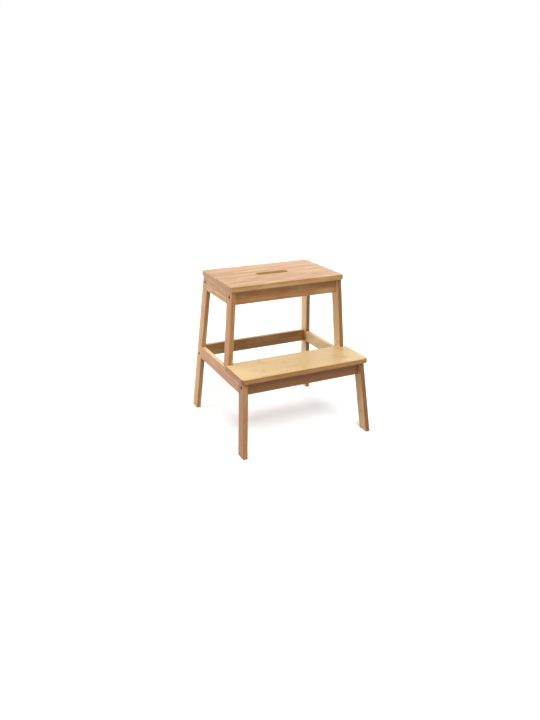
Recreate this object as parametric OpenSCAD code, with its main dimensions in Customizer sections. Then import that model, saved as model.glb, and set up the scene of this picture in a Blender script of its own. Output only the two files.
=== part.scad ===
// Two-step wooden stool. Two splayed side frames carry an upper board and a lower, wider board,
// and four cross rails tie the frames together with hex-socket bolts and barrel nuts.
// +X is to the right seen from the front, -Y is the front, +Z is up, and z = 0 is the floor.
// The right-hand side is modelled, and the left-hand side is its mirror image.

/* [Overall] */
// Height from the floor to the top of the upper board
overall_h = 470; // [440:1:520]
// Width across the outsides of the feet
foot_w = 430; // [410:1:460]
// Depth across the outsides of the feet
foot_d = 430; // [410:1:460]
// Width across the outsides of the side frames, just under the upper board
frame_top_w = 360; // [340:1:380]

/* [Boards] */
// Thickness of both boards
board_t = 16; // [15:0.5:20]
// Width of the upper board
top_w = 370; // [364:1:400]
// Depth of the upper board
top_d = 240; // [236:1:260]
// Distance from the middle of the footprint forward to the upper board's front edge
top_front = 75; // [74:1:80]
// Width of the lower board
low_w = 414; // [406:1:430]
// Depth of the lower board, with the tongue between the middle legs
low_d = 135; // [130:1:140]
// Distance from the middle of the footprint forward to the lower board's front edge
low_front = 195; // [192:1:200]
// Height of the lower board's top above the floor
low_h = 237; // [225:1:250]
// Corner radius of both boards, seen from above
corner_r = 9; // [6:0.5:12]
// Rounding of the boards' long edges
board_edge_r = 3; // [1:0.5:4]

/* [Hand slot] */
// Length of the hand slot in the upper board
slot_l = 106; // [90:1:130]
// Width of the hand slot
slot_w = 27; // [24:1:34]

/* [Legs] */
// Width of the legs, seen from the side
leg_w = 38; // [36:0.5:44]
// Thickness of the legs and of every rail
stock_t = 14; // [14:0.5:16]
// Rounding of the long edges of legs and rails
stock_edge_r = 2.5; // [1:0.5:4]
// Distance that a rear leg leans forward between the floor and its top
rear_lean = 52; // [40:1:60]
// Distance that a front leg leans back between the floor and its top
front_lean = 28; // [20:1:34]
// Distance from the middle of the footprint forward to a middle leg's front face, at its foot
mid_front = 72; // [70:1:76]
// Distance that a middle leg leans back between its foot and its top
mid_lean = 3; // [0:0.5:6]

/* [Rails] */
// Height of the rails under the upper board
upper_rail_h = 42; // [36:0.5:44]
// Height of the rails at the level of the lower board
lower_rail_h = 39; // [34:0.5:40]
// Distance that the lower rear rail sits behind the middle of the rear legs
rear_rail_back = 2; // [0:0.5:3]

/* [Fasteners] */
// Diameter of a connector bolt's shank
bolt_d = 6; // [5:0.5:6]
// Length of a connector bolt's shank
bolt_l = 50; // [40:5:60]
// Diameter of a connector bolt's head
bolt_head_d = 10; // [9:0.5:10]
// Width across the flats of a connector bolt's hex socket
socket_af = 4; // [3:0.5:5]
// Diameter of a barrel nut
nut_d = 10; // [9:0.5:10]
// Diameter of the wooden dowels
dowel_d = 8; // [6:0.5:8]
// Diameter of a board screw's shank
screw_d = 4; // [3.5:0.5:4.5]
// Length of a board screw
screw_l = 30; // [28:1:31]

/* [Hidden] */
$fn = 48;

BAMBOO = "burlywood";
BEECH = "wheat";
STEEL = "dimgray";

// Undersides of the boards, where the frame stops
top_under = overall_h - board_t;
low_under = low_h - board_t;
// Middle heights of the two rows of rails
upper_mid = top_under - upper_rail_h / 2;
lower_mid = low_under - lower_rail_h / 2;

// Sideways lean of a side frame, and how far it comes in for each millimetre of height
splay = (foot_w - frame_top_w) / 2 / top_under;
splay_angle = atan(splay);

// Slopes of the legs' centre lines, along Y for each millimetre of height
rear_slope = -rear_lean / top_under;
front_slope = front_lean / low_under;
mid_slope = mid_lean / (top_under - low_under);

// A length past which a cut or a blank is sure to reach
far = 2 * overall_h;
// Clearance around dowels, pins and notches
fit_gap = 0.1;
notch_gap = 0.4;

// How far the bolts and locating dowels sit above the middle of their cross rail
upper_bolt_rise = 3;
upper_dowel_rise = -10;
front_bolt_rise = 3;
front_dowel_rise = -9;
rear_bolt_rise = -9;
rear_dowel_rise = 6;

// Bolt heads lie just below the outer face, and the nut sits near the end of the bolt
head_h = 4;
head_recess = 1.2;
bore_d = bolt_d + 0.6;
counterbore_d = bolt_head_d + 0.6;
nut_back = 9;
nut_l = 11.5;
nut_sink = 0.5;
// Drilled holes run this much past the end of what they hold
over_drill = 1;
socket_depth = 2.8;

// Locating dowels, and the dowels that join the rails and legs of a side frame
end_dowel_l = 26;
end_dowel_in_leg = 9.5;
side_dowel_l = 28;
side_dowel_in_leg = 12.5;
side_dowel_step = 10;
foot_dowel_step = 10;
// A hole is longer than its dowel at each end by this many times the gap around it
end_gap_ratio = 8;

// Board screws: how far below the top of a rail the head sits, and the head itself
screw_seat = 18;
screw_head_d = 7.5;
screw_head_h = 2.6;
screw_bore_d = 8.4;
upper_screw_x = 92;
lower_screw_x = 108;
side_screw_y = -110;

// A cross rail is [middle of its thickness, height of its top, its own height, rise of its bolts,
// rise of its dowels, side that its barrel nuts go in from, distance of its screws from the middle]
UPPER_FRONT = [mid_y(upper_mid + upper_bolt_rise), top_under, upper_rail_h,
               upper_bolt_rise, upper_dowel_rise, 1, upper_screw_x];
UPPER_REAR = [rear_y(upper_mid + upper_bolt_rise), top_under, upper_rail_h,
              upper_bolt_rise, upper_dowel_rise, -1, upper_screw_x];
LOWER_FRONT = [front_y(lower_mid + front_bolt_rise), low_under, lower_rail_h,
               front_bolt_rise, front_dowel_rise, 1, lower_screw_x];
LOWER_REAR = [rear_y(lower_mid + rear_bolt_rise) + rear_rail_back, low_under, lower_rail_h,
              rear_bolt_rise, rear_dowel_rise, 1, 0];

function rail_y(rail) = rail[0];
function rail_top(rail) = rail[1];
function rail_h(rail) = rail[2];
function bolt_z(rail) = rail_top(rail) - rail_h(rail) / 2 + rail[3];
function dowel_z(rail) = rail_top(rail) - rail_h(rail) / 2 + rail[4];
function nut_side(rail) = rail[5];
function screw_x(rail) = rail[6];

// Distance of a side frame's outer and inner face from the middle, at a height
function outer_x(z) = foot_w / 2 - splay * z;
function inner_x(z) = outer_x(z) - stock_t / cos(splay_angle);

// Half of a leg's width measured level, for a leg with a given slope
function half_w(slope) = leg_w / 2 / cos(atan(slope * cos(splay_angle)));

// Centre lines of the legs: their Y at a height
function rear_y(z) = foot_d / 2 - half_w(rear_slope) + rear_slope * z;
function front_y(z) = -foot_d / 2 + half_w(front_slope) + front_slope * z;
function mid_y(z) = -mid_front + half_w(mid_slope) + mid_slope * (z - low_under);

// Height in the leaning plane of a side frame for a true height
function up(z) = z / cos(splay_angle);

// A flat rectangle with round corners, centred on the origin
module round_rect(w, d, r) {
    square([w - 2 * r, d], center = true);
    square([w, d - 2 * r], center = true);
    for (x = [-1, 1], y = [-1, 1])
        translate([x * (w / 2 - r), y * (d / 2 - r)]) circle(r);
}

// A board with round corners and rounded long edges, standing on z = 0
module eased_board(w, d, t, r, edge_r) {
    intersection() {
        translate([0, 0, -t]) linear_extrude(3 * t) round_rect(w, d, r);
        translate([-w, 0, t / 2]) rotate([90, 0, 90])
            linear_extrude(2 * w) round_rect(d, t, edge_r);
        translate([0, d, t / 2]) rotate([90, 0, 0])
            linear_extrude(2 * d) round_rect(w, t, edge_r);
    }
}

// A piece of planed stock along +Z from z = 0: its outer face is x = 0 and it is centred on y = 0
module stock(w, length) {
    translate([-stock_t / 2, 0, 0]) linear_extrude(length) round_rect(stock_t, w, stock_edge_r);
}

// The right side as modelled, or its mirror image on the left
module on_side(side) {
    mirror([side < 0 ? 1 : 0, 0, 0]) children();
}

// The leaning plane of the right side frame: x = 0 is its outer face, and z runs up the lean
module in_frame() {
    translate([foot_w / 2, 0, 0]) rotate([0, -splay_angle, 0]) children();
}

// Everything between two true heights
module between(low, high) {
    intersection() {
        children();
        translate([-far / 2, -far / 2, low]) cube([far, far, high - low]);
    }
}

// A leg's blank, whose centre line passes through y at the floor with a slope
module leg_blank(y, slope) {
    lean_angle = atan(slope * cos(splay_angle));
    in_frame() translate([0, y, 0]) rotate([-lean_angle, 0, 0])
        translate([0, 0, -overall_h / 2]) stock(leg_w, far);
}

// The space between the edges of two legs, from y + slope * z of the rear one to that of the front
module leg_gap(rear_edge, rear_rise, front_edge, front_rise) {
    in_frame() rotate([90, 0, 90]) translate([0, 0, -far / 2]) linear_extrude(far)
        polygon([for (z = [0, far]) [front_edge + front_rise * z * cos(splay_angle), z],
                 for (z = [far, 0]) [rear_edge + rear_rise * z * cos(splay_angle), z]]);
}

// A side rail's blank, whose upper face is level so that a board or a leg sits flat on it
module side_rail_blank(top, h) {
    bevel = stock_t * sin(splay_angle);
    blank_h = h / cos(splay_angle) + bevel;
    between(0, top) in_frame() translate([0, far / 2, up(top) + bevel - blank_h / 2])
        rotate([90, 0, 0]) stock(blank_h, far);
}

// A cross rail's blank, cut at both ends to the lean of the side frames
module cross_rail_blank(rail) {
    intersection() {
        translate([-far / 2, rail_y(rail) + stock_t / 2, rail_top(rail) - rail_h(rail) / 2])
            rotate([90, 0, 90]) stock(rail_h(rail), far);
        translate([0, far / 2, 0]) rotate([90, 0, 0]) linear_extrude(far)
            polygon([[-inner_x(0), 0], [inner_x(0), 0],
                     [inner_x(overall_h), overall_h], [-inner_x(overall_h), overall_h]]);
    }
}

// A round bar or bore along +X from x
module along_x(x, y, z, length, d) {
    translate([x, y, z]) rotate([0, 90, 0]) cylinder(h = length, d = d);
}

// The underside of a connector bolt's head, as a distance from the middle
function head_x(rail) = outer_x(bolt_z(rail)) - head_recess - head_h;
// The middle of its barrel nut
function nut_x(rail) = head_x(rail) - bolt_l + nut_back;

// The bolt's bore, its counterbore in the leg and its barrel nut's hole in the rail
module bolt_bores(rail) {
    along_x(head_x(rail) - bolt_l - over_drill, rail_y(rail), bolt_z(rail), far, bore_d);
    along_x(head_x(rail), rail_y(rail), bolt_z(rail), far, counterbore_d);
}
module nut_bore(rail) {
    floor_y = stock_t / 2 - nut_sink - nut_l - fit_gap;
    translate([nut_x(rail), rail_y(rail) + nut_side(rail) * floor_y, bolt_z(rail)])
        rotate([-90 * nut_side(rail), 0, 0]) cylinder(h = far, d = nut_d + 2 * fit_gap);
}

// A locating dowel between a leg and the end of a cross rail; gap widens and lengthens it into its hole
module end_dowel(rail, gap) {
    along_x(inner_x(dowel_z(rail)) + end_dowel_in_leg - end_dowel_l - gap * end_gap_ratio,
            rail_y(rail), dowel_z(rail), end_dowel_l + 2 * gap * end_gap_ratio, dowel_d + 2 * gap);
}

// A dowel across a joint of the side frame: leg_side is 1 where the leg is behind the joint
module side_dowel(joint_y, z, leg_side, gap) {
    start = leg_side > 0 ? joint_y + side_dowel_in_leg - side_dowel_l : joint_y - side_dowel_in_leg;
    in_frame() translate([-stock_t / 2, start - gap * end_gap_ratio, up(z)])
        rotate([-90, 0, 0]) cylinder(h = side_dowel_l + 2 * gap * end_gap_ratio, d = dowel_d + 2 * gap);
}
module side_dowels_rear(z_mid, gap) {
    for (z = [z_mid - side_dowel_step, z_mid + side_dowel_step])
        side_dowel(rear_y(z) - half_w(rear_slope), z, 1, gap);
}
module side_dowels_middle(gap) {
    for (z = [upper_mid - side_dowel_step, upper_mid + side_dowel_step])
        side_dowel(mid_y(z) + half_w(mid_slope), z, -1, gap);
}
module side_dowels_front(gap) {
    for (z = [lower_mid - side_dowel_step, lower_mid + side_dowel_step])
        side_dowel(front_y(z) + half_w(front_slope), z, -1, gap);
}
// The dowels that stand a middle leg on its side rail
module foot_dowels(gap) {
    for (y = [-foot_dowel_step, foot_dowel_step])
        in_frame() translate([-stock_t / 2, mid_y(low_under) + y,
                              up(low_under) + side_dowel_in_leg - side_dowel_l - gap * end_gap_ratio])
            cylinder(h = side_dowel_l + 2 * gap * end_gap_ratio, d = dowel_d + 2 * gap);
}

// The path of a board screw, up from below: z = 0 is the top of the rail
module screw_path() {
    translate([0, 0, -far - screw_seat]) cylinder(h = far, d = screw_bore_d);
    translate([0, 0, -screw_seat - over_drill])
        cylinder(h = screw_l + 2 * over_drill, d = screw_d + 2 * fit_gap);
}
module board_screw() {
    tip_h = 4;
    tip_d = 1;
    head_taper = 1.2;
    recess_w = 1;
    recess_l = 4.4;
    recess_h = 1.6;
    translate([0, 0, -screw_seat]) {
        cylinder(h = screw_l - tip_h, d = screw_d);
        translate([0, 0, screw_l - tip_h]) cylinder(h = tip_h, d1 = screw_d, d2 = tip_d);
        difference() {
            translate([0, 0, -screw_head_h])
                cylinder(h = screw_head_h, d1 = screw_head_d - head_taper, d2 = screw_head_d);
            for (turn = [0, 90]) rotate([0, 0, turn])
                translate([-recess_l / 2, -recess_w / 2, -screw_head_h - over_drill])
                    cube([recess_l, recess_w, recess_h + over_drill]);
        }
    }
}
module at_rail_screws(rail) {
    for (x = [-screw_x(rail), screw_x(rail)]) translate([x, rail_y(rail), rail_top(rail)]) children();
}
module at_side_screw() {
    in_frame() translate([-stock_t / 2, side_screw_y, up(low_under)]) children();
}

module top_board() {
    middle_y = top_d / 2 - top_front;
    color(BAMBOO) difference() {
        translate([0, middle_y, top_under]) eased_board(top_w, top_d, board_t, corner_r, board_edge_r);
        translate([0, middle_y, top_under - board_t]) linear_extrude(3 * board_t) {
            square([slot_l - slot_w, slot_w], center = true);
            for (x = [-1, 1]) translate([x * (slot_l - slot_w) / 2, 0]) circle(d = slot_w);
        }
        for (rail = [UPPER_FRONT, UPPER_REAR]) at_rail_screws(rail) screw_path();
    }
}

// The lower board reaches back between the middle legs as a tongue, and stops in front of them at its ends
module lower_board() {
    tongue = inner_x(low_h) - notch_gap;
    color(BAMBOO) difference() {
        translate([0, low_d / 2 - low_front, low_under])
            eased_board(low_w, low_d, board_t, corner_r, board_edge_r);
        for (side = [-1, 1]) on_side(side) {
            translate([tongue, -mid_front - notch_gap, 0]) cube([far, far, far]);
            at_side_screw() screw_path();
        }
        at_rail_screws(LOWER_FRONT) screw_path();
    }
}

module rear_leg(side) {
    color(BAMBOO) on_side(side) difference() {
        between(0, top_under) leg_blank(rear_y(0), rear_slope);
        for (rail = [UPPER_REAR, LOWER_REAR]) {
            bolt_bores(rail);
            end_dowel(rail, fit_gap);
        }
        side_dowels_rear(upper_mid, fit_gap);
        side_dowels_rear(lower_mid, fit_gap);
    }
}

module middle_leg(side) {
    color(BAMBOO) on_side(side) difference() {
        between(low_under, top_under) leg_blank(mid_y(0), mid_slope);
        bolt_bores(UPPER_FRONT);
        end_dowel(UPPER_FRONT, fit_gap);
        side_dowels_middle(fit_gap);
        foot_dowels(fit_gap);
    }
}

module front_leg(side) {
    color(BAMBOO) on_side(side) difference() {
        between(0, low_under) leg_blank(front_y(0), front_slope);
        bolt_bores(LOWER_FRONT);
        end_dowel(LOWER_FRONT, fit_gap);
        side_dowels_front(fit_gap);
    }
}

module upper_side_rail(side) {
    color(BAMBOO) on_side(side) difference() {
        intersection() {
            side_rail_blank(top_under, upper_rail_h);
            leg_gap(rear_y(0) - half_w(rear_slope), rear_slope,
                    mid_y(0) + half_w(mid_slope), mid_slope);
        }
        side_dowels_rear(upper_mid, fit_gap);
        side_dowels_middle(fit_gap);
    }
}

module lower_side_rail(side) {
    color(BAMBOO) on_side(side) difference() {
        intersection() {
            side_rail_blank(low_under, lower_rail_h);
            leg_gap(rear_y(0) - half_w(rear_slope), rear_slope,
                    front_y(0) + half_w(front_slope), front_slope);
        }
        side_dowels_rear(lower_mid, fit_gap);
        side_dowels_front(fit_gap);
        foot_dowels(fit_gap);
        at_side_screw() screw_path();
    }
}

module cross_rail(rail) {
    color(BAMBOO) difference() {
        cross_rail_blank(rail);
        for (side = [-1, 1]) on_side(side) {
            bolt_bores(rail);
            nut_bore(rail);
            end_dowel(rail, fit_gap);
        }
        if (screw_x(rail) > 0) at_rail_screws(rail) screw_path();
    }
}

module rail_bolt(rail, side) {
    color(STEEL) on_side(side) difference() {
        union() {
            along_x(head_x(rail), rail_y(rail), bolt_z(rail), head_h, bolt_head_d);
            along_x(head_x(rail) - bolt_l, rail_y(rail), bolt_z(rail), bolt_l, bolt_d);
        }
        translate([head_x(rail) + head_h - socket_depth, rail_y(rail), bolt_z(rail)]) rotate([0, 90, 0])
            cylinder(h = head_h, d = socket_af / cos(30), $fn = 6);
    }
}

module barrel_nut(rail, side) {
    driver_slot_w = 1.2;
    driver_slot_h = 1.4;
    color(STEEL) on_side(side)
        translate([nut_x(rail), rail_y(rail) + nut_side(rail) * (stock_t / 2 - nut_sink), bolt_z(rail)])
        rotate([90 * nut_side(rail), 0, 0]) difference() {
            cylinder(h = nut_l, d = nut_d);
            translate([-far / 2, 0, stock_t / 2 - nut_sink]) rotate([0, 90, 0])
                cylinder(h = far, d = bolt_d + 2 * fit_gap);
            translate([-nut_d, -driver_slot_w / 2, -over_drill])
                cube([2 * nut_d, driver_slot_w, driver_slot_h + over_drill]);
        }
}

module locating_dowel(rail, side) {
    color(BEECH) on_side(side) end_dowel(rail, 0);
}
module upper_side_dowels(side) {
    color(BEECH) on_side(side) {
        side_dowels_rear(upper_mid, 0);
        side_dowels_middle(0);
    }
}
module lower_side_dowels(side) {
    color(BEECH) on_side(side) {
        side_dowels_rear(lower_mid, 0);
        side_dowels_front(0);
    }
}
module middle_leg_dowels(side) {
    color(BEECH) on_side(side) foot_dowels(0);
}
module rail_screws(rail) {
    color(STEEL) at_rail_screws(rail) board_screw();
}
module side_screw(side) {
    color(STEEL) on_side(side) at_side_screw() board_screw();
}

top_board();
lower_board();
rear_leg(-1);  // left_rear_leg
rear_leg(1);  // right_rear_leg
middle_leg(-1);  // left_middle_leg
middle_leg(1);  // right_middle_leg
front_leg(-1);  // left_front_leg
front_leg(1);  // right_front_leg
upper_side_rail(-1);  // left_upper_side_rail
upper_side_rail(1);  // right_upper_side_rail
lower_side_rail(-1);  // left_lower_side_rail
lower_side_rail(1);  // right_lower_side_rail
cross_rail(UPPER_FRONT);  // upper_front_rail
cross_rail(UPPER_REAR);  // upper_rear_rail
cross_rail(LOWER_FRONT);  // lower_front_rail
cross_rail(LOWER_REAR);  // lower_rear_rail
rail_bolt(UPPER_FRONT, -1);  // left_upper_front_bolt
rail_bolt(UPPER_FRONT, 1);  // right_upper_front_bolt
rail_bolt(UPPER_REAR, -1);  // left_upper_rear_bolt
rail_bolt(UPPER_REAR, 1);  // right_upper_rear_bolt
rail_bolt(LOWER_FRONT, -1);  // left_lower_front_bolt
rail_bolt(LOWER_FRONT, 1);  // right_lower_front_bolt
rail_bolt(LOWER_REAR, -1);  // left_lower_rear_bolt
rail_bolt(LOWER_REAR, 1);  // right_lower_rear_bolt
barrel_nut(UPPER_FRONT, -1);  // left_upper_front_nut
barrel_nut(UPPER_FRONT, 1);  // right_upper_front_nut
barrel_nut(UPPER_REAR, -1);  // left_upper_rear_nut
barrel_nut(UPPER_REAR, 1);  // right_upper_rear_nut
barrel_nut(LOWER_FRONT, -1);  // left_lower_front_nut
barrel_nut(LOWER_FRONT, 1);  // right_lower_front_nut
barrel_nut(LOWER_REAR, -1);  // left_lower_rear_nut
barrel_nut(LOWER_REAR, 1);  // right_lower_rear_nut
locating_dowel(UPPER_FRONT, -1);  // left_upper_front_dowel
locating_dowel(UPPER_FRONT, 1);  // right_upper_front_dowel
locating_dowel(UPPER_REAR, -1);  // left_upper_rear_dowel
locating_dowel(UPPER_REAR, 1);  // right_upper_rear_dowel
locating_dowel(LOWER_FRONT, -1);  // left_lower_front_dowel
locating_dowel(LOWER_FRONT, 1);  // right_lower_front_dowel
locating_dowel(LOWER_REAR, -1);  // left_lower_rear_dowel
locating_dowel(LOWER_REAR, 1);  // right_lower_rear_dowel
upper_side_dowels(-1);  // left_upper_side_dowels
upper_side_dowels(1);  // right_upper_side_dowels
lower_side_dowels(-1);  // left_lower_side_dowels
lower_side_dowels(1);  // right_lower_side_dowels
middle_leg_dowels(-1);  // left_middle_leg_dowels
middle_leg_dowels(1);  // right_middle_leg_dowels
rail_screws(UPPER_FRONT);  // upper_front_screws
rail_screws(UPPER_REAR);  // upper_rear_screws
rail_screws(LOWER_FRONT);  // lower_front_screws
side_screw(-1);  // left_lower_side_screw
side_screw(1);  // right_lower_side_screw
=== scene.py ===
import math

import bmesh
import bpy
import numpy as np
from mathutils import Matrix, Vector


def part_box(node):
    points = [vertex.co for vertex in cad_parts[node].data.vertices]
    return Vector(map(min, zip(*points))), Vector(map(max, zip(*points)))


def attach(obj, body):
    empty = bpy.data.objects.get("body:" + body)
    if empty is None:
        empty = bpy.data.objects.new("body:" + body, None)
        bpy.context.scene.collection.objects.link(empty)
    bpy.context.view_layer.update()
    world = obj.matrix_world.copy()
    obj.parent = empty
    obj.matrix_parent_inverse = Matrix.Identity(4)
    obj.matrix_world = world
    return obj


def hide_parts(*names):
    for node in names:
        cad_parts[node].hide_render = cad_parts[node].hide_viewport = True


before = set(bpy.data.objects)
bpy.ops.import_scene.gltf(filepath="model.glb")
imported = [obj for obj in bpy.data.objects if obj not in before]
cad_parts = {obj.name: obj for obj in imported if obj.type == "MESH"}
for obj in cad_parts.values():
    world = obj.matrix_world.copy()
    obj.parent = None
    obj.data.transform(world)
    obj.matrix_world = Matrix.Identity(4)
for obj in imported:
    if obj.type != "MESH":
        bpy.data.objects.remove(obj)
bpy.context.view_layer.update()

print("frame loaded:", len(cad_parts), "nodes")


# small helpers

shading = {
    "creaseAngle": 35,   # degrees: an edge that turns more than this stays crisp
    "flatWeight": 60,    # how strongly the big flats keep their own shade
}
samePoint = 1e-6         # metres: points this close are one point
sameLevel = 1e-4         # metres: points this close in height lie on one end face
sameRadius = 1e-5        # metres: ends this close in radius are equally wide


def linearColour(code):  # "d9b283" -> the linear values the shaders want
    parts = [int(code[i:i + 2], 16) / 255 for i in (0, 2, 4)]
    return (*(c / 12.92 if c <= 0.04045 else ((c + 0.055) / 1.055) ** 2.4 for c in parts), 1.0)


def addNode(tree, kind, inputs=None, **settings):
    # one node with its settings, and its inputs: values, or links from other nodes;
    # a list of nodes goes to one socket together
    node = tree.nodes.new(kind)
    stops = settings.pop("stops", None)
    for name, value in settings.items():
        setattr(node, name, value)
    if stops:
        ramp = node.color_ramp.elements
        while len(ramp) < len(stops):
            ramp.new(1.0)
        for element, (place, code) in zip(ramp, stops):
            element.position, element.color = place, linearColour(code)
    for key, value in (inputs or {}).items():
        for part in value if isinstance(value, list) else [value]:
            if isinstance(part, bpy.types.Node):
                part = part.outputs[0]
            if isinstance(part, bpy.types.NodeSocket):
                tree.links.new(part, node.inputs[key])
            else:
                node.inputs[key].default_value = part
    return node


def newMaterial(name):
    material = bpy.data.materials.new(name)
    material.use_nodes = True
    tree = material.node_tree
    tree.nodes.clear()
    return material, tree


def newPiece(name, mesh):
    piece = bpy.data.objects.new(name, mesh)
    bpy.context.scene.collection.objects.link(piece)
    return piece


def settle(piece):  # runs the piece's modifiers once and keeps the result as its plain mesh
    graph = bpy.context.evaluated_depsgraph_get()
    plain = bpy.data.meshes.new_from_object(
        piece.evaluated_get(graph), preserve_all_data_layers=True, depsgraph=graph)
    plain.name = piece.name
    piece.modifiers.clear()
    piece.data = plain
    return piece


def shadeByAngle(piece):  # smooth faces, crisp past an angle, and flats kept flat
    piece.data.shade_smooth()
    piece.data.set_sharp_from_angle(angle=math.radians(shading["creaseAngle"]))
    flats = piece.modifiers.new("flats", "WEIGHTED_NORMAL")
    flats.keep_sharp = True
    flats.weight = shading["flatWeight"]
    return settle(piece)


# camera, lights and floor

camera = {
    "target": (-0.0276, 0.0, 0.2019),
    "azimuth": -25.68,          # degrees: round to the left of the front
    "elevation": 20.96,
    "roll": 0.09,
    "distance": 2.058,
    "lens": 32.79,
}
studio = {
    "paperSide": (-0.94, 0.34, 0.0),  # white paper low down all round, brightest on this side
    "brightPaper": 1.3,
    "dimPaper": 0.42,
    "paperFade": (-0.2, 0.8),   # from the dim side to the bright one
    "ceiling": 0.12,
    "paperTop": (0.15, 0.36),   # where the paper fades into the ceiling
    "floorBounce": 0.30,        # what the floor sends back up
    "paperFoot": (-0.02, 0.02),
    "softBoxes": (              # compass way, height, strength, how wide it looks; in degrees
        (150, 30, 1.6, 56),     # on the left, a little behind
        (262, 56, 2.0, 30),     # overhead in front
        (45, 28, 0.9, 60),      # behind on the right
        (100, 52, 0.7, 40),     # overhead behind
    ),
    "floorColour": "ffffff",
    "floorGlow": 0.15,          # the floor's own light, so that the shadows on it stay faint
    "floorSize": 80.0,
}


def buildCamera():
    azimuth, elevation = math.radians(camera["azimuth"]), math.radians(camera["elevation"])
    back = Vector((math.sin(azimuth) * math.cos(elevation),
                   -math.cos(azimuth) * math.cos(elevation), math.sin(elevation)))
    eye = bpy.data.objects.new("camera", bpy.data.cameras.new("camera"))
    bpy.context.scene.collection.objects.link(eye)
    eye.location = Vector(camera["target"]) + back * camera["distance"]
    turn = (-back).to_track_quat("-Z", "Y").to_matrix()
    eye.rotation_euler = (turn @ Matrix.Rotation(math.radians(camera["roll"]), 3, "Z")).to_euler()
    eye.data.lens = camera["lens"]
    bpy.context.scene.camera = eye


def buildWorld():
    # soft light from all round: white paper low down, a dimmer ceiling, and the floor's bounce
    world = bpy.data.worlds.new("white studio")
    world.use_nodes = True
    tree = world.node_tree
    tree.nodes.clear()
    way = addNode(tree, "ShaderNodeTexCoord").outputs["Generated"]
    height = addNode(tree, "ShaderNodeSeparateXYZ", {0: way}).outputs[2]
    side = addNode(tree, "ShaderNodeVectorMath", {0: way, 1: studio["paperSide"]},
                   operation="DOT_PRODUCT").outputs["Value"]
    fades = {}
    for name, value, limits, low, high in (
            ("paper", side, "paperFade", studio["dimPaper"], studio["brightPaper"]),
            ("above", height, "paperTop", "paper", studio["ceiling"]),
            ("light", height, "paperFoot", studio["floorBounce"], "above")):
        fades[name] = addNode(tree, "ShaderNodeMapRange", {
            "Value": value, "From Min": studio[limits][0], "From Max": studio[limits][1],
            "To Min": fades.get(low, low), "To Max": fades.get(high, high)},
            interpolation_type="SMOOTHSTEP")
    white = (1, 1, 1, 1)
    lit = addNode(tree, "ShaderNodeBackground", {"Color": white, "Strength": fades["light"]})
    plain = addNode(tree, "ShaderNodeBackground", {"Color": white, "Strength": 1.0})
    seen = addNode(tree, "ShaderNodeLightPath").outputs["Is Camera Ray"]  # shows as plain white
    backdrop = addNode(tree, "ShaderNodeMixShader", {0: seen, 1: lit, 2: plain})
    addNode(tree, "ShaderNodeOutputWorld", {"Surface": backdrop})
    bpy.context.scene.world = world
    bpy.context.scene.view_settings.view_transform = "Standard"  # whites stay white


def buildSoftBoxes():
    for compass, height, strength, width in studio["softBoxes"]:
        lamp = bpy.data.lights.new("soft box", "SUN")
        lamp.energy = strength
        lamp.angle = math.radians(width)
        box = bpy.data.objects.new("soft box", lamp)
        box.rotation_euler = (math.radians(90 - height), 0, math.radians(compass + 90))
        bpy.context.scene.collection.objects.link(box)


def buildFloor():
    reach = studio["floorSize"] / 2
    sheet = bpy.data.meshes.new("floor")
    corners = [(-reach, -reach, 0), (reach, -reach, 0), (reach, reach, 0), (-reach, reach, 0)]
    sheet.from_pydata(corners, [], [(0, 1, 2, 3)])
    floor = newPiece("floor", sheet)
    # Matt white paper: no shine at all, only faint soft shadows.
    material, tree = newMaterial("matt white paper")
    colour = linearColour(studio["floorColour"])
    shader = addNode(tree, "ShaderNodeBsdfPrincipled", {
        "Base Color": colour, "Roughness": 1.0, "Specular IOR Level": 0.0,
        "Emission Color": colour, "Emission Strength": studio["floorGlow"]})
    addNode(tree, "ShaderNodeOutputMaterial", {"Surface": shader})
    floor.data.materials.append(material)
    floor.visible_diffuse = False  # its light on the object is the floor bounce above


buildCamera()
buildWorld()
buildSoftBoxes()
buildFloor()
print("studio ready")


# lacquered bamboo

bamboo = {
    "stripWidth": 0.0195,       # laminated strips, side by side
    "plyThickness": 0.0072,     # and one over another
    "fibreWidth": 0.0009,
    "fibreLength": 0.045,
    "streakWidth": 0.0042,      # real bundles are finer: this coarse so that it shows
    "streakLength": 0.16,
    "cloudSize": 0.09,
    "fibreShare": 0.40,         # how much each pattern darkens or lightens the wood
    "streakShare": 0.56,
    "cloudShare": 0.45,
    "stripShare": 0.14,
    "toneShift": 0.28,          # brings the patterns' sum back to the middle tone
    "endGrainCast": 0.4,        # cut ends follow the piece's tone and painted shade less
    "tones": ((0.1, "edc98c"), (0.5, "bd8348"), (0.9, "9b652f")),
    "knuckle": "87532c",
    "knuckleSpacing": 0.27,     # along a strip
    "knuckleWidth": 0.0024,
    "knuckleWander": 0.006,     # how far a knuckle's line strays with the streaks
    "knuckleFade": (0.4, 1.6),  # from its middle to clear wood, in knuckle widths
    "knuckleShare": (0.08, 0.34),  # on the faintest strips, and on the plainest
    "faintStrips": 0.35,        # how many of the strips have the faintest ones
    "haloWidths": 7,
    "haloShare": 0.10,
    "glue": "9a6c42",
    "glueEdge": 0.025,          # of a strip's width, on each side of its edge
    "glueShare": 0.4,
    "dotsPerMetre": 1100.0,     # fibre bundles at a cut end, twice as coarse so that they show
    "dotEdge": (0.15, 0.45),
    "dotShare": (0.7, 0.36),
    "roughness": 0.42,
    "roughnessSpread": 0.12,
    "specular": 0.35,
    "ior": 1.5,
    "coat": 0.2,
    "coatRoughness": 0.2,
    "reliefShare": 0.25,
    "relief": 0.0002,
    "stripShift": 37.0,         # slides each strip's pattern along by its own amount
    "seedShift": 3.71,          # and each piece's
}


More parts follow.
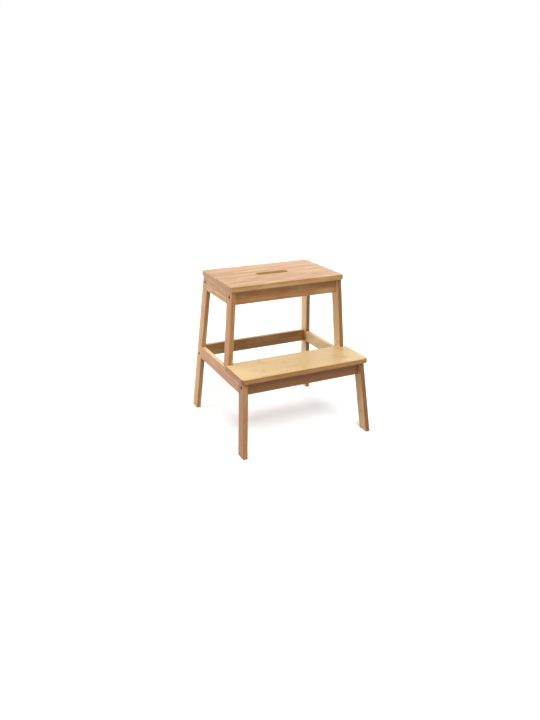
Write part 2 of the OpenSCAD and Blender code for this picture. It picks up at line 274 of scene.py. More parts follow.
def bambooMaterial(name, endGrain=False):
    # Lacquered bamboo: straight warm strips with fine fibres and a darker knuckle every so often,
    # under a satin lacquer that gives a soft sheen at low angles.
    material, tree = newMaterial(name)
    grain = addNode(tree, "ShaderNodeAttribute", attribute_name="grain").outputs["Vector"]
    seed = addNode(tree, "ShaderNodeAttribute", attribute_name="seed").outputs["Fac"]
    along, across, through = addNode(tree, "ShaderNodeSeparateXYZ", {0: grain}).outputs
    stripAt = addNode(tree, "ShaderNodeMath", {0: across, 1: 1 / bamboo["stripWidth"]},
                      operation="MULTIPLY")
    plyAt = addNode(tree, "ShaderNodeMath", {0: through, 1: 1 / bamboo["plyThickness"]},
                    operation="MULTIPLY")
    stripKey = addNode(tree, "ShaderNodeCombineXYZ", {
        0: addNode(tree, "ShaderNodeMath", {0: stripAt}, operation="FLOOR"),
        1: addNode(tree, "ShaderNodeMath", {0: plyAt}, operation="FLOOR"), 2: seed})
    strip = addNode(tree, "ShaderNodeTexWhiteNoise", {"Vector": stripKey})
    shift, tint, start = addNode(tree, "ShaderNodeSeparateColor", {
        0: strip.outputs["Color"]}).outputs
    seedShift = addNode(tree, "ShaderNodeMath", {0: seed, 1: bamboo["seedShift"]},
                        operation="MULTIPLY")

    def stretched(width, length, detail):  # noise drawn out along the strip
        run = addNode(tree, "ShaderNodeMath", {0: along, 1: 1 / length}, operation="MULTIPLY")
        spot = addNode(tree, "ShaderNodeCombineXYZ", {
            0: addNode(tree, "ShaderNodeMath", {0: shift, 1: bamboo["stripShift"], 2: run},
                       operation="MULTIPLY_ADD"),
            1: addNode(tree, "ShaderNodeMath", {0: across, 1: 1 / width}, operation="MULTIPLY"),
            2: addNode(tree, "ShaderNodeMath", {0: through, 1: 1 / width, 2: seedShift},
                       operation="MULTIPLY_ADD")})
        return addNode(tree, "ShaderNodeTexNoise", {
            "Vector": spot, "Scale": 1.0, "Detail": detail, "Roughness": 0.55}).outputs["Fac"]

    fibre = stretched(bamboo["fibreWidth"], bamboo["fibreLength"], 2.0)
    streak = stretched(bamboo["streakWidth"], bamboo["streakLength"], 3.0)
    cloudSpot = addNode(tree, "ShaderNodeVectorMath", {0: grain, "Scale": 1 / bamboo["cloudSize"]},
                        operation="SCALE")
    cloudSpot = addNode(tree, "ShaderNodeVectorMath", {0: cloudSpot, 1: stripKey}, operation="ADD")
    cloud = addNode(tree, "ShaderNodeTexNoise", {"Vector": cloudSpot, "Scale": 1.0, "Detail": 3.0})

    # darker or paler by fibre, streak, patch and strip, and by each face's tone, which is partly
    # the wood's own and partly painted light and shade
    # painted light and shade: each face's paleness, read here, stands partly for how the light
    # falls on it
    cast = addNode(tree, "ShaderNodeAttribute", attribute_name="cast").outputs["Fac"]
    followed = bamboo["endGrainCast"] if endGrain else 1.0
    tone = addNode(tree, "ShaderNodeMath", {0: cast, 1: followed}, operation="MULTIPLY")
    for pattern, share in ((fibre, "fibreShare"), (streak, "streakShare"),
                           (cloud, "cloudShare"), (tint, "stripShare")):
        tone = addNode(tree, "ShaderNodeMath", {0: pattern, 1: bamboo[share], 2: tone},
                       operation="MULTIPLY_ADD")
    tone = addNode(tree, "ShaderNodeMath", {0: tone, 1: bamboo["toneShift"]}, operation="SUBTRACT")
    colour = addNode(tree, "ShaderNodeValToRGB", {0: tone}, stops=bamboo["tones"])

    # a knuckle crosses each strip at its own place, plain on some strips and faint on most
    away = streak  # becomes how far along the strip the nearest knuckle is
    for operation, second, third in (("MULTIPLY_ADD", bamboo["knuckleWander"], along),
                                     ("MULTIPLY_ADD", 1 / bamboo["knuckleSpacing"], start),
                                     ("ADD", seedShift, 0.0), ("FRACT", 0.0, 0.0),
                                     ("SUBTRACT", 0.5, 0.0), ("ABSOLUTE", 0.0, 0.0)):
        away = addNode(tree, "ShaderNodeMath", {0: away, 1: second, 2: third}, operation=operation)
    width = bamboo["knuckleWidth"] / bamboo["knuckleSpacing"]
    faint, plain = bamboo["knuckleShare"]
    inner, outer = bamboo["knuckleFade"]
    knuckle, halo, strength = (
        addNode(tree, "ShaderNodeMapRange", {
            "Value": value, "From Min": low, "From Max": high, "To Min": first, "To Max": last},
            interpolation_type="SMOOTHSTEP")
        for value, low, high, first, last in (
            (away, width * inner, width * outer, 1.0, 0.0),
            (away, width, width * bamboo["haloWidths"], bamboo["haloShare"], 0.0),
            (tint, bamboo["faintStrips"], 1.0, faint, plain)))
    marks = addNode(tree, "ShaderNodeMath", {0: knuckle, 1: strength}, operation="MULTIPLY")
    marks = addNode(tree, "ShaderNodeMath", {0: marks, 1: halo}, operation="MAXIMUM")
    overlays = [(marks, bamboo["knuckle"])]

    # thin glue lines between strips
    offLine = stripAt
    for operation, second in (("FRACT", 0.0), ("SUBTRACT", 0.5), ("ABSOLUTE", 0.0)):
        offLine = addNode(tree, "ShaderNodeMath", {0: offLine, 1: second}, operation=operation)
    glue = addNode(tree, "ShaderNodeMapRange", {
        "Value": offLine, "From Min": 0.5 - bamboo["glueEdge"], "From Max": 0.5,
        "To Min": 0.0, "To Max": bamboo["glueShare"]}, interpolation_type="SMOOTHSTEP")
    overlays.append((glue, bamboo["glue"]))

    if endGrain:  # cut fibre bundles show as dark dots
        dotSpot = addNode(tree, "ShaderNodeCombineXYZ", {0: across, 1: through, 2: seed})
        dots = addNode(tree, "ShaderNodeTexVoronoi", {
            "Vector": dotSpot, "Scale": bamboo["dotsPerMetre"]}).outputs["Distance"]
        dots = addNode(tree, "ShaderNodeMapRange", {
            "Value": dots, "From Min": bamboo["dotEdge"][0], "From Max": bamboo["dotEdge"][1],
            "To Min": bamboo["dotShare"][0], "To Max": bamboo["dotShare"][1]},
            interpolation_type="SMOOTHSTEP")
        overlays.append((dots, bamboo["knuckle"]))
    for amount, code in overlays:
        colour = addNode(tree, "ShaderNodeMix", {
            "Factor": amount, 6: colour, 7: linearColour(code)}, data_type="RGBA").outputs[2]

    spread = bamboo["roughnessSpread"]
    rough = addNode(tree, "ShaderNodeMath", {
        0: fibre, 1: spread, 2: bamboo["roughness"] - spread / 2}, operation="MULTIPLY_ADD")
    relief = addNode(tree, "ShaderNodeMath", {0: fibre, 1: knuckle}, operation="ADD")
    bump = addNode(tree, "ShaderNodeBump", {
        "Strength": bamboo["reliefShare"], "Distance": bamboo["relief"], "Height": relief})
    shader = addNode(tree, "ShaderNodeBsdfPrincipled", {
        "Base Color": colour, "Roughness": rough, "Normal": bump, "IOR": bamboo["ior"],
        "Specular IOR Level": bamboo["specular"],
        "Coat Weight": bamboo["coat"], "Coat Roughness": bamboo["coatRoughness"]})
    addNode(tree, "ShaderNodeOutputMaterial", {"Surface": shader})
    return material


lacqueredBamboo = bambooMaterial("lacquered bamboo")
bambooEnds = bambooMaterial("lacquered bamboo end grain", endGrain=True)

stock = {
    "boreDepth": 0.001,     # a face with more stock than this in front of it belongs to a bore
    "endGrainFrom": 0.8,    # how squarely a face has to look along the fibres to show their ends
}


def layGrain(piece, along, across, casts, seed, boreToneAndShade=None):
    # every point learns where it is in its own stock, in metres, so the pattern follows the piece;
    # each face gets a paler or deeper tone by the way it looks (left, front, up, and the other
    # three): partly the strips' own tone on edges and flats, partly painted light and shade for how
    # the light falls on that side; faces inside bores get painted shade for the recess, over a deep
    # raw-wood tone
    middle = sum((Vector(c) for c in piece.bound_box), Vector()) / 8
    along = along.normalized()
    across = (across - along * across.dot(along)).normalized()
    axes = np.array([along, across, along.cross(across)])
    pointCount, faceCount = len(piece.data.vertices), len(piece.data.polygons)
    points = np.zeros(pointCount * 3, np.float32)
    normals, centres = np.zeros(faceCount * 3, np.float32), np.zeros(faceCount * 3, np.float32)
    piece.data.vertices.foreach_get("co", points)
    piece.data.polygons.foreach_get("normal", normals)
    piece.data.polygons.foreach_get("center", centres)
    points, normals, centres = points.reshape(-1, 3), normals.reshape(-1, 3), centres.reshape(-1, 3)
    x, y, z = normals.T
    left, front, top, other = casts
    # painted light and shade: each side is made paler or deeper by the way it faces
    byFace = (np.where(x < 0, left, other) * x ** 2 + np.where(y < 0, front, other) * y ** 2
              + np.where(z > 0, top, other) * z ** 2)
    # painted shade: faces inside a bore are made deep
    if boreToneAndShade is not None:
        stockAhead = (normals @ points.T).max(1) - (normals * centres).sum(1)
        byFace[stockAhead > stock["boreDepth"]] = boreToneAndShade
    for name, kind, domain, field, values in (
            ("grain", "FLOAT_VECTOR", "POINT", "vector", (points - np.array(middle)) @ axes.T),
            ("seed", "FLOAT", "POINT", "value", np.full(pointCount, seed)),
            ("cast", "FLOAT", "FACE", "value", byFace)):
        layer = piece.data.attributes.new(name, kind, domain)
        layer.data.foreach_set(field, values.astype(np.float32).ravel())
    piece.data.materials.clear()
    piece.data.materials.append(lacqueredBamboo)
    piece.data.materials.append(bambooEnds)
    for face in piece.data.polygons:
        face.material_index = 1 if abs(face.normal.dot(along)) > stock["endGrainFrom"] else 0


def finish(piece, node):
    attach(piece, "root")
    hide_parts(node)


# the two boards

topBoard = {
    "cornerRadius": 0.009,
    "cornerSteps": 8,
    "edgeRadius": 0.003,
    "slotLength": 0.106,
    "slotWidth": 0.027,
    "slotSteps": 20,
    "slotEase": 0.0016,
    "casts": (-0.1, -0.12, -0.04, 0.0),  # left end, front, top, the rest; deeper above zero; partly the wood's tone, partly painted light and shade on each side
}
lowerBoard = {
    "cornerRadius": 0.009,
    "cornerSteps": 8,
    "edgeRadius": 0.003,
    "notchEase": 0.0006,
    "notchLip": 0.004,       # where the rolled edge ends, in front of the notch
    "legThickness": 0.014,
    "legGap": 0.0004,
    "casts": (2.2, -0.06, -0.46, 0.0),  # in the same order; the very deep left end is painted shade on that end, over its end-grain tone
}
roundSteps = 6  # steps over a rolled edge


def cornerPoints(at, radius, startAngle, sweep, steps, ease):
    # points round one corner, each with its outward way and how far its edge rolls over
    points = []
    for i in range(steps + 1):
        angle = math.radians(startAngle + sweep * i / steps)
        out = Vector((math.cos(angle), math.sin(angle)))
        points.append((at + out * radius, out, ease))
    return points


def easedShell(work, outline, low, high, inward=False):
    # rings of points that follow an outline and roll over at its upper and lower edges
    rings = []
    for side, level in ((-1, low), (1, high)):
        order = range(roundSteps + 1) if side < 0 else range(roundSteps, -1, -1)
        for i in order:
            turn = math.pi / 2 * i / roundSteps
            ring = []
            for point, out, ease in outline:
                inset = ease * (1 - math.sin(turn))
                drop = ease * (1 - math.cos(turn))
                rolled = point + out * inset if inward else point - out * inset
                ring.append(work.verts.new((rolled.x, rolled.y, level - side * drop)))
            rings.append(ring)
    count = len(outline)
    for lower, upper in zip(rings, rings[1:]):
        for i in range(count):
            j = (i + 1) % count
            corners = (lower[i], lower[j], upper[j], upper[i])
            work.faces.new(corners if not inward else corners[::-1])
    return rings[0], rings[-1]


def closeFlat(work, rings):  # one flat face, with a hole in it where there are two rings
    edges = []
    for ring in rings:
        for i in range(len(ring)):
            edges.append(work.edges.get((ring[i], ring[(i + 1) % len(ring)])))
    bmesh.ops.triangle_fill(work, use_beauty=True, use_dissolve=False, edges=edges)


def boardPiece(name, node, outline, casts, seed, slotOutline=None):
    low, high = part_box(node)
    work = bmesh.new()
    under, over = easedShell(work, outline, low.z, high.z)
    unders, overs = [under], [over]
    if slotOutline:
        slotUnder, slotOver = easedShell(work, slotOutline, low.z, high.z, inward=True)
        unders.append(slotUnder)
        overs.append(slotOver)
    closeFlat(work, unders)
    closeFlat(work, overs)
    bmesh.ops.recalc_face_normals(work, faces=work.faces)
    mesh = bpy.data.meshes.new(name)
    work.to_mesh(mesh)
    work.free()
    piece = shadeByAngle(newPiece(name, mesh))
    layGrain(piece, Vector((1, 0, 0)), Vector((0, 1, 0)), casts, seed)
    finish(piece, node)


def buildTopBoard():
    size = topBoard
    low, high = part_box("top_board")
    r = size["cornerRadius"]
    outline = []
    for x, y, start in ((low.x + r, low.y + r, 180), (high.x - r, low.y + r, 270),
                        (high.x - r, high.y - r, 0), (low.x + r, high.y - r, 90)):
        outline += cornerPoints(Vector((x, y)), r, start, 90,
                                size["cornerSteps"], size["edgeRadius"])
    middle = (low + high) / 2
    reach = (size["slotLength"] - size["slotWidth"]) / 2
    slotOutline = []
    for x, start in ((middle.x + reach, -90), (middle.x - reach, 90)):
        slotOutline += cornerPoints(Vector((x, middle.y)), size["slotWidth"] / 2, start, 180,
                                    size["slotSteps"], size["slotEase"])
    boardPiece("topBoard", "top_board", outline, size["casts"], 1.0, slotOutline)


def buildLowerBoard():
    # its front is the whole width, and its tongue goes back between the leaning middle legs,
    # clear of their inner faces at the height of its own upper face
    size = lowerBoard
    low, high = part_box("lower_board")
    legLow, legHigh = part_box("right_middle_leg")
    innerFace = legHigh.x - size["legThickness"]
    lean = (innerFace - legLow.x) / (legHigh.z - legLow.z)
    tongue = innerFace - lean * (high.z - legLow.z) - size["legGap"]
    notch = legLow.y - size["legGap"]
    lip = notch - size["notchLip"]
    r, edge, ease = size["cornerRadius"], size["edgeRadius"], size["notchEase"]
    outline = []
    for x, start in ((low.x + r, 180), (high.x - r, 270)):
        outline += cornerPoints(Vector((x, low.y + r)), r, start, 90, size["cornerSteps"], edge)
    for x, y, way, roll in (
            (high.x, lip, (1, 0), edge), (high.x, notch, (1, 1), ease),
            (tongue, notch, (1, 1), ease), (tongue, high.y, (1, 1), ease),
            (-tongue, high.y, (-1, 1), ease), (-tongue, notch, (-1, 1), ease),
            (low.x, notch, (-1, 1), ease), (low.x, lip, (-1, 0), edge)):
        outline.append((Vector((x, y)), Vector(way), roll))
    boardPiece("lowerBoard", "lower_board", outline, size["casts"], 2.0)


buildTopBoard()
buildLowerBoard()
print("boards ready")


# legs and rails: planed bars of one section

bars = {
    # painted light: the upper faces are made paler than the sides, partly for the strips' edge tone
    "upperFacePaler": 0.60,
    "otherFaces": 0.0,
    # painted shade: bores made deep, over a raw-wood tone
    "bores": 1.2,
    "firstSeed": 3.0,        # the boards have the two before it
    "dissolve": 0.3,         # degrees: triangles that turn less than this become one flat face
    "casts": {               # left side, then front; below zero is paler, above is deeper; painted light and shade for how the light falls on each side, over the wood's own tone
        "left_rear_leg": (-0.06, -0.08),
        "right_rear_leg": (-0.30, 0.10),
        "left_middle_leg": (0.06, 0.0),
        # painted light and shade: inner side made paler for the light from the left, front deeper
        "right_middle_leg": (-0.50, 0.30),
        # painted shade: this leg's left side made deeper where the light falls off towards the
        # front
        "left_front_leg": (0.86, -0.02),
        "right_front_leg": (-0.24, 0.50),
        "left_upper_side_rail": (0.0, 0.02),
        "right_upper_side_rail": (0.0, 0.05),
        "left_lower_side_rail": (0.04, 0.0),
        # painted light: the inner side made much paler for the light from the left
        "right_lower_side_rail": (-0.66, -0.10),
        "upper_front_rail": (0.0, -0.02),
        "upper_rear_rail": (0.05, 0.05),
        # painted shade: the front made deep for the shade under the tread's overhang
        "lower_front_rail": (0.0, 0.46),
        "lower_rear_rail": (0.0, 0.06),
    },
}


def camelName(node):
    first, *rest = node.split("_")
    return first + "".join(word.capitalize() for word in rest)


def cleanCopy(name, node):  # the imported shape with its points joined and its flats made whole
    work = bmesh.new()
    work.from_mesh(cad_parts[node].data)
    bmesh.ops.remove_doubles(work, verts=work.verts, dist=samePoint)
    bmesh.ops.dissolve_limit(work, angle_limit=math.radians(bars["dissolve"]),
                             verts=work.verts, edges=work.edges)
    mesh = bpy.data.meshes.new(name)
    work.to_mesh(mesh)
    work.free()
    return newPiece(name, mesh)


def capMiddle(points, level):
    ring = points[np.abs(points[:, 2] - level) < sameLevel]
    return Vector((ring.min(0) + ring.max(0)) / 2)


def barAxes(node, piece):  # which way a bar's fibres run, and which way is its width
    if node.endswith("leg"):
        points = np.array([v.co for v in piece.data.vertices])
        low, high = points[:, 2].min(), points[:, 2].max()
        return capMiddle(points, high) - capMiddle(points, low), Vector((0, 1, 0))
    if "side" in node:
        return Vector((0, 1, 0)), Vector((0, 0, 1))
    return Vector((1, 0, 0)), Vector((0, 0, 1))


def buildBars():
    for number, (node, (left, front)) in enumerate(bars["casts"].items()):
        piece = cleanCopy(camelName(node), node)
        along, across = barAxes(node, piece)
        piece = shadeByAngle(piece)
        # painted light: upper faces paler than the sides
        casts = (left, front, min(left, front) - bars["upperFacePaler"], bars["otherFaces"])
        layGrain(piece, along, across, casts, number + bars["firstSeed"], bars["bores"])
        finish(piece, node)
    print("legs and rails ready:", len(bars["casts"]))


buildBars()


# fasteners: each tree makes one fastener standing on its own axis, head first,
# and sets it on every point of the piece, turned to that point's aim

cutSliver = 0.00002  # metres: a cut can leave edges this short, which are drawn together


def newTree(name, sizes):
    tree = bpy.data.node_groups.new(name, "GeometryNodeTree")
    tree.interface.new_socket(name="Points", in_out="INPUT", socket_type="NodeSocketGeometry")
    for size, value in sizes.items():
        whole = isinstance(value, int)
        socket = tree.interface.new_socket(
            name=size, in_out="INPUT", socket_type="NodeSocketInt" if whole else "NodeSocketFloat")
        socket.default_value = value
    tree.interface.new_socket(name="Material", in_out="INPUT", socket_type="NodeSocketMaterial")
    tree.interface.new_socket(name="Fastener", in_out="OUTPUT", socket_type="NodeSocketGeometry")
    return tree, addNode(tree, "NodeGroupInput").outputs


def lift(tree, shape, height):  # moves a shape along the fastener's axis
    place = addNode(tree, "ShaderNodeCombineXYZ", {2: height})
    return addNode(tree, "GeometryNodeTransform", {"Geometry": shape, "Translation": place})


def turned(tree, sides, steps):  # a turned solid, by each step's start, end and radius at both
    rounds = []
    for start, end, bottom, top in steps:
        length = addNode(tree, "ShaderNodeMath", {0: end, 1: start}, operation="SUBTRACT")
        step = addNode(tree, "GeometryNodeMeshCone", {
            "Vertices": sides, "Radius Bottom": bottom, "Radius Top": top, "Depth": length})
        rounds.append(lift(tree, step, start))
    return addNode(tree, "GeometryNodeMeshBoolean", {"Mesh 2": rounds},
                   operation="UNION", solver="MANIFOLD")


def cutAway(tree, shape, cutters):
    return addNode(tree, "GeometryNodeMeshBoolean", {"Mesh 1": shape, "Mesh 2": cutters},
                   operation="DIFFERENCE", solver="MANIFOLD")


def threadOf(tree, radius, start, length, pitch, depth):  # a ridge that winds round the shank
    middle = addNode(tree, "ShaderNodeMath", {0: radius, 1: depth}, operation="SUBTRACT")
    coil = addNode(tree, "GeometryNodeCurveSpiral", {
        "Resolution": 12, "Start Radius": middle, "End Radius": middle, "Height": length,
        "Rotations": addNode(tree, "ShaderNodeMath", {0: length, 1: pitch}, operation="DIVIDE")})
    ridge = addNode(tree, "GeometryNodeCurvePrimitiveCircle", {"Resolution": 3, "Radius": depth})
    wound = addNode(tree, "GeometryNodeCurveToMesh", {
        "Curve": coil, "Profile Curve": ridge, "Fill Caps": True})
    return lift(tree, wound, start)


def setOnPoints(tree, inputs, shape):  # a fastener keeps its own axes, then goes to each point
    shape = addNode(tree, "GeometryNodeMergeByDistance", {"Geometry": shape, "Distance": cutSliver})
    position = addNode(tree, "GeometryNodeInputPosition")
    own = addNode(tree, "ShaderNodeSeparateXYZ", {0: position}).outputs
    lengthFirst = addNode(tree, "ShaderNodeCombineXYZ", {0: own[2], 1: own[0], 2: own[1]})
    shape = addNode(tree, "GeometryNodeStoreNamedAttribute", {
        "Geometry": shape, "Name": "grain", "Value": lengthFirst}, data_type="FLOAT_VECTOR")
    aim = addNode(tree, "GeometryNodeInputNamedAttribute", {"Name": "aim"},
                  data_type="FLOAT_VECTOR")
    turn = addNode(tree, "FunctionNodeAlignRotationToVector", {"Vector": aim}, axis="Z")
    turn = addNode(tree, "FunctionNodeAlignRotationToVector", {
        "Rotation": turn, "Vector": (0.0, 0.0, 1.0)}, axis="Y", pivot_axis="Z")
    placed = addNode(tree, "GeometryNodeInstanceOnPoints", {
        "Points": inputs["Points"], "Instance": shape, "Rotation": turn})
    solid = addNode(tree, "GeometryNodeRealizeInstances", {"Geometry": placed})
    solid = addNode(tree, "GeometryNodeSetMaterial", {
        "Geometry": solid, "Material": inputs["Material"]})
    addNode(tree, "NodeGroupOutput", {"Fastener": solid})
    return tree


bolt = {
    "Length": 0.054, "Shank Radius": 0.003, "Head Radius": 0.005, "Head Height": 0.004,
    "Head Chamfer": 0.0005, "Socket Radius": 0.0023, "Socket Depth": 0.0025,
    "Thread Length": 0.034, "Thread Pitch": 0.001, "Thread Depth": 0.0004, "Sides": 32,
}
barrelNut = {
    "Length": 0.0115, "Radius": 0.005, "Chamfer": 0.0004, "Bore Radius": 0.003,
    "Bore Height": 0.0065, "Slot Width": 0.0012, "Slot Depth": 0.0014, "Sides": 32,
}
dowel = {
    "Length": 0.026, "Radius": 0.004, "Chamfer": 0.0012, "Flutes": 16, "Flute Radius": 0.00035,
    "Sides": 32,
}
boardScrew = {
    "Length": 0.0326, "Shank Radius": 0.002, "Head Radius": 0.00375, "Head Height": 0.0026,
    "Head Chamfer": 0.0006, "Recess Width": 0.001, "Recess Length": 0.0044, "Recess Depth": 0.0016,
    "Plain Length": 0.007, "Tip Length": 0.004, "Tip Radius": 0.0005, "Thread Pitch": 0.0018,
    "Thread Depth": 0.0004, "Sides": 24,
}


def boltTree():
    tree, get = newTree("hexSocketBolt", bolt)
    chamfer, head, shank = get["Head Chamfer"], get["Head Radius"], get["Shank Radius"]
    rim, core, threadStart, tipStart, threadLength = (
        addNode(tree, "ShaderNodeMath", {0: whole, 1: part}, operation="SUBTRACT")
        for whole, part in ((head, chamfer), (shank, get["Thread Depth"]),
                            (get["Length"], get["Thread Length"]), (get["Length"], chamfer),
                            (get["Thread Length"], chamfer)))
    tip = addNode(tree, "ShaderNodeMath", {0: core, 1: chamfer}, operation="SUBTRACT")
    shape = turned(tree, get["Sides"], (
        (0.0, chamfer, rim, head),
        (chamfer, get["Head Height"], head, head),
        (chamfer, threadStart, shank, shank),
        (chamfer, tipStart, core, core),
        (tipStart, get["Length"], core, tip)))
    down, twice = (
        addNode(tree, "ShaderNodeMath", {0: get["Socket Depth"], 1: times}, operation="MULTIPLY")
        for times in (-1.0, 2.0))
    socket = addNode(tree, "GeometryNodeMeshCone", {
        "Vertices": 6, "Radius Bottom": get["Socket Radius"], "Radius Top": get["Socket Radius"],
        "Depth": twice})
    shape = cutAway(tree, shape, lift(tree, socket, down))
    thread = threadOf(tree, shank, threadStart, threadLength,
                      get["Thread Pitch"], get["Thread Depth"])
    return setOnPoints(tree, get, addNode(tree, "GeometryNodeJoinGeometry", {0: [shape, thread]}))


def chamferedPin(tree, get):  # a plain round pin with both of its rims broken
    chamfer, radius = get["Chamfer"], get["Radius"]
    rim, end = (
        addNode(tree, "ShaderNodeMath", {0: whole, 1: chamfer}, operation="SUBTRACT")
        for whole in (radius, get["Length"]))
    return turned(tree, get["Sides"], (
        (0.0, chamfer, rim, radius),
        (chamfer, end, radius, radius),
        (end, get["Length"], radius, rim)))


def nutTree():
    tree, get = newTree("barrelNut", barrelNut)
    reach = addNode(tree, "ShaderNodeMath", {0: get["Radius"], 1: 4.0}, operation="MULTIPLY")
    bore = addNode(tree, "GeometryNodeMeshCylinder", {
        "Vertices": get["Sides"], "Radius": get["Bore Radius"], "Depth": reach})
    bore = addNode(tree, "GeometryNodeTransform", {
        "Geometry": bore, "Rotation": (0.0, math.pi / 2, 0.0),
        "Translation": addNode(tree, "ShaderNodeCombineXYZ", {2: get["Bore Height"]})})
    deep = addNode(tree, "ShaderNodeMath", {0: get["Slot Depth"], 1: 2.0}, operation="MULTIPLY")
    slot = addNode(tree, "GeometryNodeMeshCube", {
        "Size": addNode(tree, "ShaderNodeCombineXYZ", {0: reach, 1: get["Slot Width"], 2: deep})})
    return setOnPoints(tree, get, cutAway(tree, chamferedPin(tree, get), [bore, slot]))


def dowelTree():
    tree, get = newTree("flutedDowel", dowel)
    ring = addNode(tree, "GeometryNodeMeshCircle", {
        "Vertices": get["Flutes"], "Radius": get["Radius"]})
    below, twice = (
        addNode(tree, "ShaderNodeMath", {0: get["Length"], 1: times}, operation="MULTIPLY")
        for times in (-0.5, 2.0))
    flute = addNode(tree, "GeometryNodeMeshCone", {
        "Vertices": 6, "Radius Bottom": get["Flute Radius"], "Radius Top": get["Flute Radius"],
        "Depth": twice})
    flutes = addNode(tree, "GeometryNodeInstanceOnPoints", {
        "Points": ring, "Instance": lift(tree, flute, below)})
    flutes = addNode(tree, "GeometryNodeRealizeInstances", {"Geometry": flutes})
    return setOnPoints(tree, get, cutAway(tree, chamferedPin(tree, get), flutes))


def screwTree():
    tree, get = newTree("boardScrew", boardScrew)
    head, shank, recess = get["Head Radius"], get["Shank Radius"], get["Recess Depth"]
    plainEnd = addNode(tree, "ShaderNodeMath", {0: get["Head Height"], 1: get["Plain Length"]},
                       operation="ADD")
    rim, core, tipStart = (
        addNode(tree, "ShaderNodeMath", {0: whole, 1: part}, operation="SUBTRACT")
        for whole, part in ((head, get["Head Chamfer"]), (shank, get["Thread Depth"]),
                            (get["Length"], get["Tip Length"])))
    threadLength = addNode(tree, "ShaderNodeMath", {0: tipStart, 1: plainEnd}, operation="SUBTRACT")
    shape = turned(tree, get["Sides"], (
        (0.0, get["Head Height"], rim, head),
        (recess, plainEnd, shank, shank),
        (recess, tipStart, core, core),
        (tipStart, get["Length"], core, get["Tip Radius"])))
    deep = addNode(tree, "ShaderNodeMath", {0: recess, 1: 2.0}, operation="MULTIPLY")
    cross = [
        addNode(tree, "GeometryNodeMeshCube", {
            "Size": addNode(tree, "ShaderNodeCombineXYZ", {0: first, 1: second, 2: deep})})
        for first, second in ((get["Recess Length"], get["Recess Width"]),
                              (get["Recess Width"], get["Recess Length"]))]
    shape = cutAway(tree, shape, cross)
    thread = threadOf(tree, shank, plainEnd, threadLength,
                      get["Thread Pitch"], get["Thread Depth"])
    return setOnPoints(tree, get, addNode(tree, "GeometryNodeJoinGeometry", {0: [shape, thread]}))


def solidsIn(node):
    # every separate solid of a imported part: where its wider end is, which way it goes, its length
    work = bmesh.new()
    work.from_mesh(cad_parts[node].data)
    bmesh.ops.remove_doubles(work, verts=work.verts, dist=samePoint)
    left, solids = set(work.verts), []
    while left:
        group, reached = set(), [next(iter(left))]
        while reached:
            vert = reached.pop()
            if vert not in group:
                group.add(vert)
                reached += [edge.other_vert(vert) for edge in vert.link_edges]
        left -= group
        points = np.array(sorted(tuple(v.co) for v in group))
        centre = (points.max(0) + points.min(0)) / 2 if "nut" in node else points.mean(0)
        spread = points - centre
        way = np.array((0.0, 1.0, 0.0)) if "nut" in node else np.linalg.svd(spread)[2][0]
        reach = spread @ way
        out = np.linalg.norm(spread - np.outer(reach, way), axis=1)
        firstEnd, lastEnd = (out[end].max() for end in (reach < reach.min() + sameLevel,
                                                        reach > reach.max() - sameLevel))
        if firstEnd < lastEnd - sameRadius:
            way, reach = -way, -reach
        solids.append((Vector(centre + way * reach.min()), Vector(way), float(np.ptp(reach))))
    work.free()
    return sorted(solids, key=lambda solid: tuple(solid[0]))


def fastenerPiece(node, tree, sizes, material):
    solids = solidsIn(node)
    if "nut" in node:  # a nut's slotted end is the one it went in by
        low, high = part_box(node.replace("nut", "bolt"))
        start, way, length = solids[0]
        if (start + way * length / 2).y > (low + high).y / 2:
            solids = [(start + way * length, -way, length)]
    name = camelName(node)
    mesh = bpy.data.meshes.new(name)
    mesh.from_pydata([tuple(start) for start, way, length in solids], [], [])
    aims = mesh.attributes.new("aim", "FLOAT_VECTOR", "POINT")
    aims.data.foreach_set("vector", [c for start, way, length in solids for c in way])
    piece = newPiece(name, mesh)
    modifier = piece.modifiers.new(tree.name, "NODES")
    modifier.node_group = tree
    values = dict(sizes, Length=solids[0][2], Material=material)
    for item in tree.interface.items_tree:
        if item.in_out == "INPUT" and item.name in values:
            modifier[item.identifier] = values[item.name]
    settle(piece)
    aim = piece.data.attributes.get("aim")
    if aim:
        piece.data.attributes.remove(aim)
    shadeByAngle(piece)
    finish(piece, node)


turnedSteel = {
    "finishes": {                       # colour, where it is worn, roughness
        # near-black, so that the bolt heads show as dark spots in their holes
        "blackened steel": ("24211e", "38332e", 0.5),
        "zinc-plated steel": ("a9a9a6", "c4c2bb", 0.35),
    },
    "repeats": (9000.0, 300.0, 300.0),  # per metre: turning marks along the axis, and round it
    "patchesPerMetre": 600.0,
    "smoother": 0.08,                   # how far the marks take the roughness down, and up
    "rougher": 0.12,
    "reliefShare": 0.3,
    "relief": 0.00005,
}
beechRod = {
    "repeats": (450.0, 2600.0, 2600.0),  # per metre: flecks about 2 mm long and 0.4 mm wide
    "tones": ((0.3, "a97c54"), (0.45, "d3ab80"), (0.8, "dfbd95")),
    "roughness": 0.7,
    "reliefShare": 0.3,
    "relief": 0.0001,
}


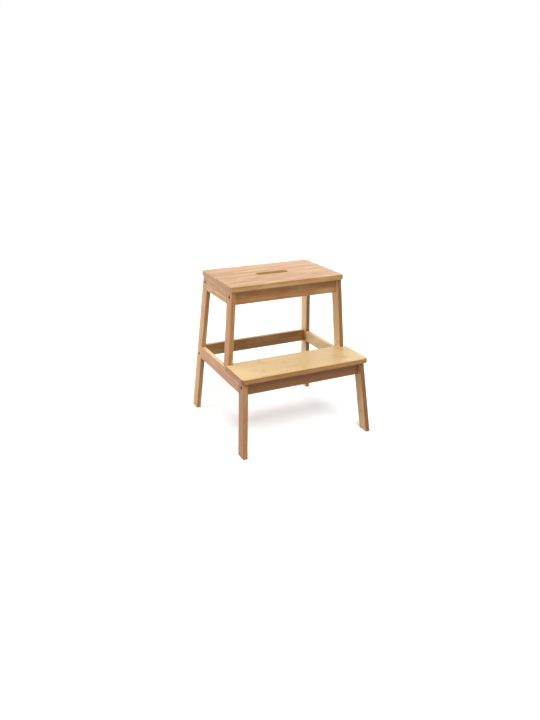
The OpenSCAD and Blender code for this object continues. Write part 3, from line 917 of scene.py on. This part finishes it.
def steelMaterial(name):
    # Steel fasteners: turned rings that catch the light in fine lines, over an uneven finish.
    look = turnedSteel
    colour, worn, roughness = look["finishes"][name]
    material, tree = newMaterial(name)
    axis = addNode(tree, "ShaderNodeAttribute", attribute_name="grain").outputs["Vector"]
    rings = addNode(tree, "ShaderNodeVectorMath", {0: axis, 1: look["repeats"]},
                    operation="MULTIPLY")
    marks = addNode(tree, "ShaderNodeTexNoise", {
        "Vector": rings, "Scale": 1.0, "Detail": 2.0}).outputs["Fac"]
    patches = addNode(tree, "ShaderNodeTexNoise", {
        "Vector": axis, "Scale": look["patchesPerMetre"], "Detail": 3.0}).outputs["Fac"]
    tint = addNode(tree, "ShaderNodeMix", {
        "Factor": patches, 6: linearColour(colour), 7: linearColour(worn)},
        data_type="RGBA").outputs[2]
    rough = addNode(tree, "ShaderNodeMapRange", {
        "Value": marks, "To Min": roughness - look["smoother"],
        "To Max": roughness + look["rougher"]})
    bump = addNode(tree, "ShaderNodeBump", {
        "Strength": look["reliefShare"], "Distance": look["relief"], "Height": marks})
    shader = addNode(tree, "ShaderNodeBsdfPrincipled", {
        "Base Color": tint, "Metallic": 1.0, "Roughness": rough, "Normal": bump})
    addNode(tree, "ShaderNodeOutputMaterial", {"Surface": shader})
    return material


def beechMaterial():
    # Beech dowel rod: even pinkish straw colour with short dark flecks along it, left unfinished.
    look = beechRod
    material, tree = newMaterial("unfinished beech")
    axis = addNode(tree, "ShaderNodeAttribute", attribute_name="grain").outputs["Vector"]
    spot = addNode(tree, "ShaderNodeVectorMath", {0: axis, 1: look["repeats"]},
                   operation="MULTIPLY")
    flecks = addNode(tree, "ShaderNodeTexNoise", {
        "Vector": spot, "Scale": 1.0, "Detail": 2.0}).outputs["Fac"]
    tint = addNode(tree, "ShaderNodeValToRGB", {0: flecks}, stops=look["tones"])
    bump = addNode(tree, "ShaderNodeBump", {
        "Strength": look["reliefShare"], "Distance": look["relief"], "Height": flecks})
    shader = addNode(tree, "ShaderNodeBsdfPrincipled", {
        "Base Color": tint, "Roughness": look["roughness"], "Normal": bump})
    addNode(tree, "ShaderNodeOutputMaterial", {"Surface": shader})
    return material


def buildFasteners():
    blackSteel, zincSteel = steelMaterial("blackened steel"), steelMaterial("zinc-plated steel")
    kinds = (("bolt", boltTree(), bolt, blackSteel, "steel"),
             ("nut", nutTree(), barrelNut, zincSteel, "steel"),
             ("dowel", dowelTree(), dowel, beechMaterial(), "dowel_wood"),
             ("screw", screwTree(), boardScrew, zincSteel, "steel"))
    made = 0
    for node in sorted(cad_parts):
        for word, tree, sizes, material, slot in kinds:
            if node.rstrip("s").endswith(word):
                fastenerPiece(node, tree, sizes, material)
                made += 1
    print("fasteners ready:", made)


buildFasteners()
